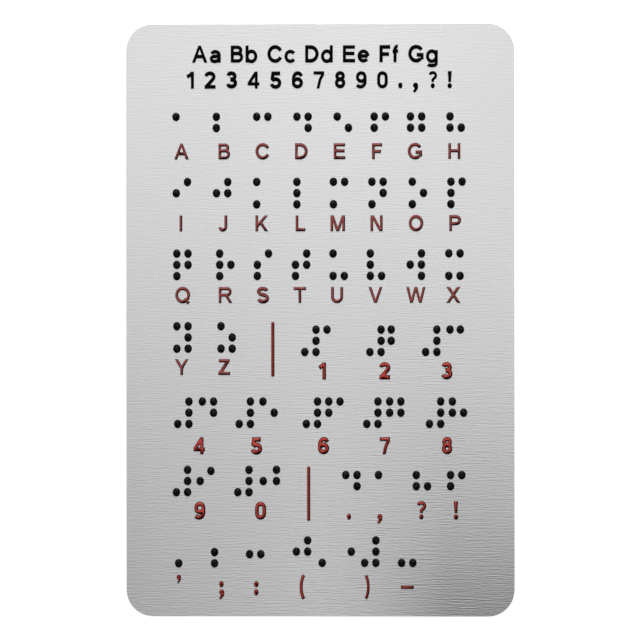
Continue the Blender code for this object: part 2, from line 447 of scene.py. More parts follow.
def brushed_metal(colour):
    """Metal brushed from side to side: straight hairlines that fade in and out, with
    painted shade and painted reflection in its tone.
    """
    material, nodes, shader, place = new_material("brushed_metal_sheet", colour)
    along, up, _ = nodes.apart(place)
    lines = sum(hairline(nodes, along, up, *rows) * strength
                for *rows, strength in HAIRLINES)
    grain = nodes.noise(place, FINE_GRAINS, detail=0.0)
    broad = nodes.noise(place, CLOUD_GRAINS)
    across = (along - SHEET_LOW.x) / (SHEET_HIGH.x - SHEET_LOW.x)
    down = (SHEET_HIGH.y - up) / (SHEET_HIGH.y - SHEET_LOW.y)
    low = down * down
    left, right = (1 - across).power(LEFT_FADE), across.power(SIDE_FADE)
    edge = (across / CORNER_START).at_most(1)
    bite = 1 + low * (BRUSH_FOOT + edge.power(BRUSH_FADE) * BRUSH_CORNER)
    # Painted shade in the lower right corner and at the lower left; painted reflection as a
    # paler band down the lower middle, a paler right side and a paler upper left.
    corner = low * low * edge.power(CORNER_FADE)
    aside = (across - BAND_MIDDLE) / BAND_HALF
    painted_reflection_band = low * down / (1 + aside * aside)
    tone = (uneven(CLEAN_TONE + bite * lines, (grain, GRAIN), (broad, CLOUD))
            - corner * CORNER_PAINTED_SHADE + low * (1 - down) * right * SIDE_PAINTED_REFLECTION
            + painted_reflection_band * BAND_PAINTED_REFLECTION + left * (LEFT_PAINTED_REFLECTION - low * LEFT_PAINTED_SHADE))
    tint = nodes.add("ShaderNodeVectorMath", {
        0: colour, "Scale": tone.at_least(TONES[0]).at_most(TONES[1])},
        operation="SCALE")
    feed(nodes, shader, Base_Color=tint, Metallic=1.0,
         Roughness=uneven(METAL_ROUGHNESS + lines * LINE_ROUGHNESS, (broad, CLOUD)),
         Normal=bump(nodes, lines, depth=0.000004))
    return material


def satin_black(colour):
    """Moulded black plastic with a fine leathery grain and rubbed patches."""
    material, nodes, shader, place = new_material("satin_black_plate", colour)
    grain = nodes.noise(place, 2600, roughness=0.6)
    rubbed = nodes.noise(place, 55, detail=3.0, roughness=0.6)
    feed(nodes, shader, Specular_IOR_Level=0.4,
         Base_Color=nodes.tinted(shade(colour, 0.8), shade(colour, 1.5), rubbed),
         Roughness=uneven(0.42, (rubbed, 0.18), (grain, 0.1)),
         Normal=bump(nodes, grain, depth=0.00001, strength=0.6))
    return material


def bonding_film(colour):
    """Dull black adhesive film with small ripples."""
    material, nodes, shader, place = new_material("bonding_film", colour)
    ripple = nodes.noise(place, (900, 900, 2400))
    feed(nodes, shader, Specular_IOR_Level=0.25,
         Base_Color=nodes.tinted(shade(colour, 0.7), shade(colour, 1.2), ripple),
         Roughness=uneven(0.7, (ripple, 0.2)),
         Normal=bump(nodes, ripple, depth=0.00002, strength=0.5))
    return material


# Share of a bead covered by painted glints, grey flecks in its colour, and how sharp their
# edges are
PAINTED_GLINT_SHARE = 0.4
PAINTED_GLINT_CONTRAST = 4.5


def bead_gloss(colour):
    """Glossy black of the beads, flecked with painted grey glints and duller where fingers
    pass.
    """
    material, nodes, shader, place = new_material("bead_gloss", colour)
    touched = nodes.noise(place, 300)
    painted_glint = nodes.noise(place, 2300, detail=1.0)
    pores = nodes.noise(place, 9000, detail=1.0)
    painted_glints = uneven(PAINTED_GLINT_SHARE, (painted_glint, PAINTED_GLINT_CONTRAST)).at_least(0).at_most(1)
    feed(nodes, shader, Specular_IOR_Level=0.035,
         Base_Color=nodes.tinted(shade(colour, 0.05), shade(colour, 3.0), painted_glints),
         Roughness=uneven(0.26, (touched, 0.16), (pores, 0.06)),
         Normal=bump(nodes, pores, depth=0.000003, strength=0.5))
    return material


# Clear coat over the red lacquer of a form with dark rims and painted shade
COAT = 0.4
COAT_ROUGHNESS = 0.35


def lacquer(name, colour, gloss, mottle, core=None):
    """Soft sheen on a raised form, slightly uneven in colour. Where a dark colour is given,
    the red shows as far as the mesh's cover goes, and the dark colour shows on the rims and
    as painted shade on the flanks that face the shaded way."""
    material, nodes, shader, place = new_material(name, colour)
    cloud = nodes.noise(place, 1100, detail=3.0, roughness=0.6)
    pores = nodes.noise(place, 7000, detail=1.0)
    tint = nodes.tinted(shade(colour, 1 - mottle), shade(colour, 1 + mottle),
                        uneven(0.5, (cloud, 1.4)))
    if core is not None:
        cover = nodes.add("ShaderNodeAttribute", output="Fac", attribute_name=COVER)
        cover = uneven(cover, (cloud, COVER_WAVER)).at_least(0).at_most(1)
        tint = nodes.tinted(shade(core), tint, cover)
        feed(nodes, shader, Coat_Weight=cover * COAT, Coat_Roughness=COAT_ROUGHNESS)
    feed(nodes, shader, Base_Color=tint, Specular_IOR_Level=0.03 if core is None else 0.02,
         Roughness=uneven(gloss, (cloud, 0.14), (pores, 0.08)),
         Normal=bump(nodes, pores + cloud, depth=0.000008, strength=0.6))
    return material


def link_new(name, data):
    """A new object in the scene, at the origin."""
    obj = bpy.data.objects.new(name, data)
    bpy.context.scene.collection.objects.link(obj)
    return obj


def to_mesh(bm, name):
    mesh = bpy.data.meshes.new(name)
    bm.to_mesh(mesh)
    bm.free()
    return mesh


CORNER_SEGMENTS = 14
RIM_SEGMENTS = 3
# The turn from which a rim is eased, how level a flat face is, and the turn between two
# faces that stays crisp
RIM_ANGLE = math.radians(60)
FLAT_FACE = 0.9999
SHARP_ANGLE = math.radians(32)


def block_mesh(low, high, radius, segments=CORNER_SEGMENTS):
    """Upright block between two corners, with its four upright edges rounded."""
    size = high - low
    placed = Matrix.Translation((low + high) / 2) @ Matrix.Diagonal((*size, 1))
    bm = bmesh.new()
    bmesh.ops.create_cube(bm, size=1, matrix=placed)
    upright = [e for e in bm.edges if abs(e.verts[0].co.z - e.verts[1].co.z) > size.z / 2]
    bmesh.ops.bevel(bm, geom=upright, offset=radius, segments=segments,
                    profile=0.5, affect="EDGES")
    return to_mesh(bm, "blank")


def ease_rims(obj, width, segments=RIM_SEGMENTS):
    """Round the rims of a block's two flat faces."""
    ease = obj.modifiers.new("eased rims", "BEVEL")
    ease.width = width
    ease.segments = segments
    ease.limit_method = "ANGLE"
    ease.angle_limit = RIM_ANGLE


def bake(obj, material):
    """Make the modifiers part of the mesh, which keeps one material and is smoothed."""
    bpy.context.view_layer.update()
    graph = bpy.context.evaluated_depsgraph_get()
    shaped = bpy.data.meshes.new_from_object(obj.evaluated_get(graph))
    obj.modifiers.clear()
    obj.data = shaped
    shaped.name = obj.name
    shaped.materials.clear()
    shaped.materials.append(material)
    shaped.polygons.foreach_set("material_index", [0] * len(shaped.polygons))
    smooth_round_sides(shaped)


def smooth_round_sides(mesh):
    """Smooth shading, with crisp edges round every flat face and at sharp turns."""
    bm = bmesh.new()
    bm.from_mesh(mesh)
    for face in bm.faces:
        face.smooth = True
    for edge in bm.edges:
        if len(edge.link_faces) == 2:
            flat = [abs(face.normal.z) > FLAT_FACE for face in edge.link_faces]
            edge.smooth = flat[0] == flat[1] and edge.calc_face_angle(0) < SHARP_ANGLE
    bm.to_mesh(mesh)
    bm.free()


def hand_over(obj, slot, *nodes):
    """The piece moves with the board and stands for its nodes, which it hides. The slot it
    is given is not used.
    """
    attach(obj, BODY)
    if nodes:
        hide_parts(*nodes)


def places_object(name="bead_places"):
    """A loose point for every bead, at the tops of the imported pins, which the node
    trees repeat a shape on."""
    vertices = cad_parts["backing_plate"].data.vertices
    tops = {(round(v.co.x, 6), round(v.co.y, 6)) for v in vertices
            if v.co.z > PINS_TOP - SAME_POINT * MM}
    mesh = bpy.data.meshes.new("places")
    mesh.from_pydata([(x, y, 0) for x, y in sorted(tops)], [], [])
    return link_new(name, mesh)


# Rounding of a bar's ends as a share of its width
BAR_END_SHARE = 0.45
BAR_END_SEGMENTS = 6
# Red on the middle of a bar, and how much it falls from the left side to the right, as
# painted shade on the lower right flank
BAR_COVER = 0.72
BAR_PAINTED_SHADE_SLANT = 0.65


def bar_blocks(grow, low=None, high=None):
    """Each bar's node, corners and block, grown all round, between two heights if given."""
    for node in ("upper_divider_bar", "lower_divider_bar"):
        corner, far = (v.copy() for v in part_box(node))
        corner -= Vector((grow, grow, 0))
        far += Vector((grow, grow, 0))
        corner.z = corner.z if low is None else low
        far.z = far.z if high is None else high
        yield node, corner, far, block_mesh(
            corner, far, (far.x - corner.x) * BAR_END_SHARE, BAR_END_SEGMENTS)


def cover_and_shade_bar(mesh, low, high):
    """Red lacquer on a bar's top and upper left, with painted shade on its lower right
    flank and at its foot.
    """
    middle, half = (low + high) / 2, (high - low) / 2
    cover = mesh.attributes.new(COVER, "FLOAT", "POINT")
    for vertex, value in zip(mesh.vertices, cover.data):
        across = (vertex.co.x - middle.x) / half.x
        to_foot = (vertex.co.y - low.y) / half.x
        value.value = max(0, min(1, BAR_COVER - BAR_PAINTED_SHADE_SLANT * across)) * min(1, to_foot)


def new_tree(name, **inputs):
    """An empty geometry tree with these named inputs, each a socket kind."""
    tree = bpy.data.node_groups.new(name, "GeometryNodeTree")
    tree.interface.new_socket("Geometry", in_out="INPUT", socket_type="NodeSocketGeometry")
    for label, kind in inputs.items():
        tree.interface.new_socket(label.replace("_", " "), in_out="INPUT",
                                  socket_type="NodeSocket" + kind)
    tree.interface.new_socket("Geometry", in_out="OUTPUT", socket_type="NodeSocketGeometry")
    nodes = Nodes(tree)
    return nodes, nodes.add("NodeGroupInput")


def end_tree(nodes, shape, given):
    """Plain mesh with its material, which every tree ends in."""
    real = nodes.add("GeometryNodeRealizeInstances", {"Geometry": shape})
    dressed = nodes.add("GeometryNodeSetMaterial",
                        {"Geometry": real, "Material": given["Material"]})
    nodes.add("NodeGroupOutput", {0: dressed})
    return nodes.tree


def run_tree(obj, tree, **values):
    """Puts the tree on the object with its named inputs, then bakes it."""
    modifier = obj.modifiers.new(tree.name, "NODES")
    modifier.node_group = tree
    for item in tree.interface.items_tree:
        key = item.name.replace(" ", "_")
        if item.in_out == "INPUT" and key in values:
            modifier[item.identifier] = values[key]
    bake(obj, values["Material"])


HOLE_SIDES = 24
# How far a cutter goes past the sheet
OVERRUN = 0.0004
# The smallest flare that a cutter can have
NO_FLARE = 0.00001


def perforation_tree():
    """Cuts a deburred round hole at every place, and the slots, out of a sheet."""
    nodes, given = new_tree(
        "perforation", Places="Object", Slots="Object", Hole_Diameter="Float",
        Stretch="Float", Deburr="Float", Bottom="Float", Top="Float",
        Material="Material")
    places, slots = (
        nodes.add("GeometryNodeObjectInfo", {"Object": given[name]}, "Geometry")
        for name in ("Places", "Slots"))
    radius = given["Hole Diameter"] * 0.5
    flare = given["Deburr"] * 2
    bottom = given["Bottom"] - OVERRUN
    top = given["Top"]
    drill = nodes.add("GeometryNodeMeshCylinder",
                      {"Vertices": HOLE_SIDES, "Radius": radius,
                       "Depth": top + OVERRUN - bottom})
    countersink = nodes.add("GeometryNodeMeshCone",
                            {"Vertices": HOLE_SIDES, "Radius Bottom": radius,
                             "Radius Top": radius + flare, "Depth": flare})
    taller = nodes.vector(1.0, given["Stretch"], 1.0)
    cutters = []
    for tool, height in ((drill, (top + OVERRUN + bottom) * 0.5), (countersink, top)):
        raised = nodes.add("GeometryNodeTransform",
                           {"Geometry": tool, "Translation": nodes.vector(z=height)})
        repeated = nodes.add("GeometryNodeInstanceOnPoints",
                             {"Points": places, "Instance": raised, "Scale": taller})
        cutters.append(nodes.add("GeometryNodeRealizeInstances", {"Geometry": repeated}))
    cut = given
    for cutter in (*cutters, slots):
        cut = nodes.add("GeometryNodeMeshBoolean", {"Mesh 1": cut, "Mesh 2": cutter},
                        operation="DIFFERENCE", solver="MANIFOLD")
    return end_tree(nodes, cut, given)


def perforate(sheet, hole_diameter, deburr, low, high, material):
    """Drills a sheet for every bead and cuts its two slots."""
    board = sizes()
    bm = bmesh.new()
    for *_, block in bar_blocks(board.lacquer_build + board.slot_clearance,
                                SHEET_LOW.z - OVERRUN, SHEET_HIGH.z + OVERRUN):
        bm.from_mesh(block)
        bpy.data.meshes.remove(block)
    slots = link_new("slot_cutter", to_mesh(bm, "slot_cutter"))
    places = places_object()
    run_tree(sheet, perforation_tree(), Places=places, Slots=slots,
             Hole_Diameter=hole_diameter, Stretch=board.dot_stretch, Deburr=deburr,
             Bottom=low.z, Top=high.z, Material=material)
    for helper in (places, slots):
        bpy.data.objects.remove(helper, do_unlink=True)


# Rings of a bead's blank, the share of its height that is its foot, and how far the
# rings climb the dome before its tip
BEAD_RINGS = 5
BEAD_FOOT_SHARE = 0.2
BEAD_LAST_ANGLE = math.radians(78)
BEAD_SEED = 11


def bead_tree():
    """A domed bead at every place, sunk by a random share of the settle."""
    nodes, given = new_tree(
        "beads", Bead_Diameter="Float", Stretch="Float", Bottom="Float",
        Shoulder="Float", Top="Float", Settle="Float", Sides="Int",
        Material="Material")
    blank = nodes.add("GeometryNodeMeshCylinder", {
        "Vertices": given["Sides"], "Side Segments": BEAD_RINGS, "Radius": 1.0,
        "Depth": 1.0}, fill_type="TRIANGLE_FAN")
    x, y, rise = nodes.apart(nodes.add("GeometryNodeInputPosition"))
    rise = rise + 0.5
    out = (x * x + y * y).power(0.5)
    dome_share = (rise - BEAD_FOOT_SHARE).at_least(0) / (1 - BEAD_FOOT_SHARE)
    tip = (1 - out) * (rise > 0.5)
    angle = dome_share * BEAD_LAST_ANGLE + tip * (math.pi / 2 - BEAD_LAST_ANGLE)
    reach = angle.cosine() * given["Bead Diameter"] * 0.5
    bottom, shoulder, top = (given[n] for n in ("Bottom", "Shoulder", "Top"))
    foot = (rise / BEAD_FOOT_SHARE).at_most(1)
    height = bottom + foot * (shoulder - bottom) + angle.sine() * (top - shoulder)
    shape = nodes.add("GeometryNodeSetPosition", {
        "Geometry": blank,
        "Position": nodes.vector(x * reach, y * reach * given["Stretch"], height)})
    beads = nodes.add("GeometryNodeInstanceOnPoints",
                      {"Points": given, "Instance": shape})
    sink = nodes.add("FunctionNodeRandomValue", {2: 0.0, 3: 1.0, "Seed": BEAD_SEED},
                     output=1, data_type="FLOAT")
    sunk = nodes.vector(z=sink * given["Settle"] * -1)
    beads = nodes.add("GeometryNodeTranslateInstances",
                      {"Instances": beads, "Translation": sunk})
    return end_tree(nodes, beads, given)


def arc_points(x, y, rx, ry, start, end):
    """Points along an arc, turning clockwise where the end is below the start."""
    steps = max(2, round(abs(end - start) / ARC_STEP))
    angles = np.radians(np.linspace(start, end, steps + 1))
    return [(x + rx * math.cos(a), y + ry * math.sin(a)) for a in angles]


def read_stroke(text, half):
    """The points along one stroke and the half width at each."""
    points, halves = [], []
    for word in text.split():
        if word.startswith("*"):
            half *= float(word[1:])
            continue
        numbers = [float(n) for n in word.split(",")]
        new = arc_points(*numbers) if len(numbers) == 6 else [tuple(numbers[:2])]
        wide = numbers[2] if len(numbers) == 3 else half
        for point in new:
            if not points or math.dist(point, points[-1]) > SAME_POINT:
                points.append(point)
                halves.append(wide)
    return np.array(points), np.array(halves)


def with_end_rows(points, halves):
    """The stroke with extra rows close to its two ends, where its shoulder falls off."""
    length = np.r_[0, np.cumsum(np.linalg.norm(np.diff(points, axis=0), axis=1))]
    total = length[-1]
    near = [share * halves[0] for share in SHOULDER_ROWS]
    far = [total - share * halves[-1] for share in SHOULDER_ROWS]
    extra = [d for d in near + far if 0 < d < total]
    keep = [d for d in extra if np.abs(length - d).min() > halves[0] * SHOULDER_ROWS[0] / 2]
    stations = np.sort(np.r_[length, keep])
    line = np.c_[np.interp(stations, length, points[:, 0]),
                 np.interp(stations, length, points[:, 1])]
    return line, np.interp(stations, length, halves), stations


def sideways(line, closed):
    """The direction across the stroke at each row, longer where the stroke turns."""
    ahead = np.roll(line, -1, axis=0) - line
    if not closed:
        ahead[-1] = ahead[-2]
    ahead /= np.linalg.norm(ahead, axis=1)[:, None]
    behind = np.roll(ahead, 1, axis=0)
    if not closed:
        behind[0] = ahead[0]
    left = np.c_[-ahead[:, 1], ahead[:, 0]]
    both = left + np.c_[-behind[:, 1], behind[:, 0]]
    least = 2 / MITRE_LIMIT ** 2
    return both / np.maximum((both * left).sum(1), least)[:, None], ahead


def cut_level(line, across, ahead, stations, halves):
    """Cuts a slanting straight end along the base line or the cap line."""
    for end, other in ((0, 1), (-1, -2)):
        heading = line[end] - line[other]
        slope = abs(heading[1]) / np.linalg.norm(heading)
        on_line = min(abs(line[end][1]), abs(line[end][1] - UNIT_GRID)) < SAME_POINT
        if on_line and slope > CUT_SLOPE:
            close = np.abs(stations - stations[end]) <= halves[end] + SAME_POINT
            for row in np.nonzero(close)[0]:
                across[row] = (-1 / ahead[row][1], 0)


def ribbon(points, halves):
    """Rows of lanes across one stroke, from its left outline to its right one."""
    closed = math.dist(points[0], points[-1]) < SAME_POINT
    if closed:
        line, wide = points[:-1], halves[:-1]
        across, ahead = sideways(line, True)
    else:
        line, wide, stations = with_end_rows(points, halves)
        across, ahead = sideways(line, False)
        cut_level(line, across, ahead, stations, wide)
    inner = [1 - share for share in SHOULDER_ROWS]
    shares = [1.0, *inner, *(-s for s in reversed(inner[:-1])), -1.0]
    offsets = np.array(shares)[None, :, None] * wide[:, None, None] * (1, PEN_HEIGHT)
    return line[:, None, :] + across[:, None, :] * offsets, closed


def oval(text):
    """Rings of a filled oval, each row running from its outline to its middle."""
    x, y, rx, ry = (float(n) for n in text.strip("@").split(","))
    around = np.array(arc_points(0, 0, rx, ry, 360, 0)[:-1])
    shares = np.array([1 - share for share in SHOULDER_ROWS])
    shares = np.r_[1, shares[:-1], SAME_POINT]
    return (x, y) + around[:, None, :] * shares[None, :, None], True


def inside_any(points, quads):
    """Which points lie inside at least one of the quads."""
    x, y = points.T
    within = np.zeros((len(quads), len(points)), bool)
    for corner in range(4):
        ax, ay = quads[:, corner].T[:, :, None]
        bx, by = quads[:, (corner + 1) % 4].T[:, :, None]
        rise = np.where(by == ay, 1, by - ay)
        within ^= ((ay > y) != (by > y)) & (x < ax + (bx - ax) * (y - ay) / rise)
    return within.any(0)


def edge_distance(points, starts, ends):
    """Distance to the nearest edge of the outline, and how far it faces the shaded way."""
    run = ends - starts
    gap = points[:, None, :] - starts[None]
    share = (gap * run).sum(2) / np.maximum((run * run).sum(1), SAME_POINT ** 2)
    nearest = starts + np.clip(share, 0, 1)[:, :, None] * run
    distance = np.linalg.norm(points[:, None, :] - nearest, axis=2)
    outward = np.c_[run[:, 1], -run[:, 0]] / np.linalg.norm(run, axis=1)[:, None]
    return distance.min(1), (outward @ SHADED_WAY)[distance.argmin(1)]


def drawn_in(strokes, inset):
    """The strokes moved towards the middle, but for their ends on the two lines."""
    together = np.vstack([points for points, _ in strokes])
    low, high = together.min(0), together.max(0)
    middle = (low + high) / 2
    factor = [(size - 2 * by) / size if size > 4 * abs(by) else 1
              for size, by in zip(high - low, inset)]
    for points, _ in strokes:
        free = np.abs(np.abs(points[:, 1] - UNIT_GRID / 2) - UNIT_GRID / 2) > SAME_POINT
        points[:, 0] = middle[0] + (points[:, 0] - middle[0]) * factor[0]
        points[free, 1] = middle[1] + (points[free, 1] - middle[1]) * factor[1]
    return strokes


def character_surface(character, half):
    """Flat triangles of a character on the grid, its outline, and for each point how
    deep inside it is and which way the nearest flank faces."""
    verts, edges, quads = [], [], []
    parts = STROKES[character].split("|")
    shapes = [oval(part) for part in parts if part.startswith("@")]
    strokes = [read_stroke(part, half) for part in parts if not part.startswith("@")]
    if strokes and not shapes:
        strokes = drawn_in(strokes, (half - GRID_HALF, half * PEN_HEIGHT - GRID_HALF))
    shapes += [ribbon(*stroke) for stroke in strokes]
    for rows, closed in shapes:
        count, lanes = rows.shape[:2]
        first = len(verts)
        verts.extend(rows.reshape(-1, 2))
        for row in range(count if closed else count - 1):
            here = first + row * lanes
            there = first + (row + 1) % count * lanes
            edges.extend((here + lane, there + lane) for lane in range(lanes))
            quads.append([here, here + lanes - 1, there + lanes - 1, there])
        for row in range(count):
            here = first + row * lanes
            edges.extend((here + lane, here + lane + 1) for lane in range(lanes - 1))
    cut = geometry.delaunay_2d_cdt([Vector(v) for v in verts], edges, [], 0,
                                   SAME_POINT, False)
    flat = np.array([tuple(v) for v in cut[0]])
    triangles = np.array([tuple(f) for f in cut[2]])
    triangles = triangles[inside_any(flat[triangles].mean(1), np.array(verts)[quads])]
    sides = {(t[i], t[i - 2]) for t in triangles.tolist() for i in range(3)}
    outline = np.array(sorted((a, b) for a, b in sides if (b, a) not in sides))
    used, triangles = np.unique(triangles, return_inverse=True)
    triangles = triangles.reshape(-1, 3)
    outline = np.searchsorted(used, outline)
    flat = flat[used]
    depth, facing = edge_distance(flat, flat[outline[:, 0]], flat[outline[:, 1]])
    return flat, triangles, outline, depth / half, facing


class PrintedLine:
    """Collects raised characters of one weight, and makes one mesh of them."""

    def __init__(self, half):
        board = sizes()
        self.rise, self.rim, self.root = board.print_rise, board.print_rim, board.print_root
        self.half = half
        self.dark_flank_depth = DARK_FLANKS
        self.verts, self.faces, self.cover = [], [], []
        self.shapes = {}

    def shape(self, character):
        if character not in self.shapes:
            self.shapes[character] = character_surface(character, self.half)
        return self.shapes[character]

    def add(self, character, scale, middle, base):
        """One character with its middle and base line at this place on the face."""
        flat, triangles, outline, depth, facing = self.shape(character)
        centre = (flat[:, 0].min() + flat[:, 0].max()) / 2
        x = SHEET_LOW.x + middle + (flat[:, 0] - centre) * scale
        y = SHEET_HIGH.y - base + flat[:, 1] * scale
        inside = np.clip(depth / SHOULDER_REACH, 0, 1)
        pillow = np.sqrt(1 - (1 - inside) ** 2)
        # A dark rim all round, reaching deeper in as painted shade on flanks that face the
        # shaded way.
        dark_flank_depth = self.dark_flank_depth[0] + (self.dark_flank_depth[1] - self.dark_flank_depth[0]) * ((facing + 1) / 2) ** 2
        cover = np.clip((inside - dark_flank_depth) / COVER_RUN, 0, 1)
        z = SHEET_HIGH.z + self.rim + (self.rise - self.rim) * pillow
        floor = np.full(len(x), SHEET_HIGH.z - self.root)
        top, count = len(self.verts), len(x)
        bottom = top + count
        self.verts.extend(zip(x, y, z))
        self.verts.extend(zip(x, y, floor))
        self.cover.extend(np.r_[cover, cover])
        self.faces.extend((a + top, b + top, c + top) for a, b, c in triangles)
        self.faces.extend((c + bottom, b + bottom, a + bottom) for a, b, c in triangles)
        self.faces.extend((a + top, a + bottom, b + bottom, b + top) for a, b in outline)

    def width(self, character):
        """How wide the character is on the grid."""
        flat = self.shape(character)[0]
        return flat[:, 0].max() - flat[:, 0].min()

    def piece(self, name, slot, material):
        """Makes the collected characters one piece, which stands for no node."""
        mesh = bpy.data.meshes.new(name)
        mesh.from_pydata(self.verts, [], self.faces)
        cover = mesh.attributes.new(COVER, "FLOAT", "POINT")
        cover.data.foreach_set("value", self.cover)
        mesh.materials.append(material)
        smooth_round_sides(mesh)
        hand_over(link_new(name, mesh), slot)


def print_rows(line, rows, height):
    """Characters under their cells, each with its own middle."""
    for base, characters, middles in rows:
        for character, middle in zip(characters, middles):
            line.add(character, height / UNIT_GRID, middle * MM, base * MM)


def print_spread(line, row, height):
    """A row of words whose spaces are made to fit between two places."""
    base, text, (left, right) = row
    scale = height / UNIT_GRID
    words = text.split()
    used = sum(line.width(c) + HEADING_LETTER_GAP for word in words for c in word)
    used -= HEADING_LETTER_GAP * len(words)
    space = ((right - left) * MM / scale - used) / (len(words) - 1)
    along = 0
    for word in words:
        for character in word:
            width = line.width(character)
            line.add(character, scale, left * MM + (along + width / 2) * scale, base * MM)
            along += width + HEADING_LETTER_GAP
        along += space - HEADING_LETTER_GAP


# Half widths of the strokes on the grid
LETTER_WEIGHT = 8.6
DIGIT_WEIGHT = 10.6
HEADING_WEIGHT = 9.1


class BOARD_OT_face_sheet(Operator):
    """Brushed sheet with an eased rim, a deburred hole for every bead and two slots"""

    bl_idname = "board.face_sheet"
    bl_label = "Face sheet"

    def execute(self, context):
        board = sizes()
        sheet = link_new("perforated_face_sheet", block_mesh(
            SHEET_LOW, SHEET_HIGH, board.corner_radius))
        ease_rims(sheet, board.rim_ease)
        perforate(sheet, board.hole_diameter, board.hole_deburr, SHEET_LOW, SHEET_HIGH,
                  brushed_metal(colours().metal))
        hand_over(sheet, "brushed_metal", "face_sheet")
        return {"FINISHED"}


class BOARD_OT_bonding_film(Operator):
    """Adhesive film between the sheet and the plate, with holes for the beads"""

    bl_idname = "board.bonding_film"
    bl_label = "Bonding film"

    def execute(self, context):
        board = sizes()
        inset = Vector((board.film_setback, board.film_setback, 0))
        low = Vector((SHEET_LOW.x, SHEET_LOW.y, SHEET_LOW.z - board.bond_line)) + inset
        high = Vector((SHEET_HIGH.x, SHEET_HIGH.y, SHEET_LOW.z)) - inset
        film = link_new("bonding_film", block_mesh(
            low, high, board.corner_radius - board.film_setback))
        perforate(film, board.film_hole_diameter, NO_FLARE, low, high,
                  bonding_film(colours().plate))
        hand_over(film, "black_plastic")
        return {"FINISHED"}


class BOARD_OT_backing_plate(Operator):
    """Satin black plate with rounded rims behind the face sheet"""

    bl_idname = "board.backing_plate"
    bl_label = "Backing plate"

    def execute(self, context):
        board = sizes()
        low, high = (v.copy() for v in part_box("backing_plate"))
        high.z = SHEET_LOW.z - board.bond_line
        setback = low.x - SHEET_LOW.x
        plate = link_new("satin_backing_plate", block_mesh(
            low, high, board.corner_radius - setback))
        ease_rims(plate, board.rim_ease)
        bake(plate, satin_black(colours().plate))
        hand_over(plate, "black_plastic", "backing_plate")
        return {"FINISHED"}


class BOARD_OT_braille_beads(Operator):
    """A glossy black bead for every braille dot"""

    bl_idname = "board.braille_beads"
    bl_label = "Braille beads"

    def execute(self, context):
        board = sizes()
        beads = places_object("braille_beads")
        run_tree(beads, bead_tree(), Bead_Diameter=board.bead_diameter,
                 Stretch=board.dot_stretch,
                 Bottom=SHEET_LOW.z - board.bond_line - board.bead_settle,
                 Shoulder=SHEET_HIGH.z, Top=PINS_TOP, Settle=board.bead_settle,
                 Sides=board.bead_sides, Material=bead_gloss(colours().bead))
        hand_over(beads, "black_plastic", "backing_plate")
        return {"FINISHED"}


class BOARD_OT_divider_bars(Operator):
    """Two red bars with a crowned top, each in its slot"""

    bl_idname = "board.divider_bars"
    bl_label = "Divider bars"

    def execute(self, context):
        board = sizes()
        material = lacquer("bar_lacquer", colours().bars, gloss=0.4, mottle=0.12,
                           core=colours().core)
        for node, low, high, block in bar_blocks(board.lacquer_build):
            bar = link_new("lacquered_" + node, block)
            ease_rims(bar, board.bar_crown, RIM_SEGMENTS + 1)
            bake(bar, material)
            cover_and_shade_bar(bar.data, low, high)
            hand_over(bar, "red_plastic", node)
        return {"FINISHED"}


class BOARD_OT_letters(Operator):
    """Raised dull red letters under their braille cells"""

    bl_idname = "board.letters"
    bl_label = "Letters"

    def execute(self, context):
        line = PrintedLine(LETTER_WEIGHT)
        print_rows(line, LETTER_ROWS, sizes().letter_height)
        line.piece("raised_red_letters", "red_plastic", lacquer(
            "letter_lacquer", colours().letters, gloss=0.45, mottle=0.26,
            core=colours().core))
        return {"FINISHED"}


class BOARD_OT_digits(Operator):
    """Raised bright red digits and punctuation marks"""

    bl_idname = "board.digits"
    bl_label = "Digits and marks"

    def execute(self, context):
        board = sizes()
        line = PrintedLine(DIGIT_WEIGHT)
        line.dark_flank_depth = DARK_DIGIT_FLANKS
        *short, tall = DIGIT_ROWS
        print_rows(line, short, board.digit_height)
        print_rows(line, (tall,), board.tall_digit_height)
        line.dark_flank_depth = DARK_MARK_FLANKS
        print_rows(line, MARK_ROWS, board.digit_height)
        print_rows(line, TALL_MARK_ROWS, board.tall_mark_height)
        line.dark_flank_depth = DARK_DASH_FLANKS
        print_rows(line, DASH_ROWS, board.digit_height)
        line.piece("raised_red_digits_and_marks", "red_plastic", lacquer(
            "digit_lacquer", colours().digits, gloss=0.42, mottle=0.34,
            core=colours().digit_dark_rim_and_shade))
        return {"FINISHED"}


class BOARD_OT_heading(Operator):
    """Two lines of plain raised black characters above the cells"""

    bl_idname = "board.heading"
    bl_label = "Heading characters"

    def execute(self, context):
        line = PrintedLine(HEADING_WEIGHT)
        for row in HEADING_ROWS:
            print_spread(line, row, sizes().heading_height)
        line.piece("raised_black_characters", "black_plastic", lacquer(
            "heading_lacquer", colours().heading, gloss=0.4, mottle=0.3))
        return {"FINISHED"}


# Stage. The camera's turn is in degrees, its lens and sensor are in millimetres
CAMERA_PLACE = (0.01337, 0.00132, 0.7)
CAMERA_TURN = (-0.108, 1.102, -0.043)
CAMERA_LENS = 176.0
SENSOR_WIDTH = 36
CAMERA_REACH = (0.01, 20)
FLOOR_RADIUS = 2.0
FLOOR_SIDES = 96
FLOOR_DROP = 0.00005
# How bright the floor is by itself where it is seen, and how bright the world is as light
FLOOR_GLOW = 0.8
WORLD_GLOW = 0.28
LAMP_DISTANCE = 1.2
# Each lamp's tilt from upright and bearing clockwise from the board's top, in degrees,
# its width and its power in watts
LAMPS = (
    (9, 0, 0.4, 0.5),
    (9, 240, 0.4, 0.15),
    (18, 60, 0.4, 0.06),
    (32, 0, 0.4, 0.66),
    (52, 0, 0.4, 12.0),
)


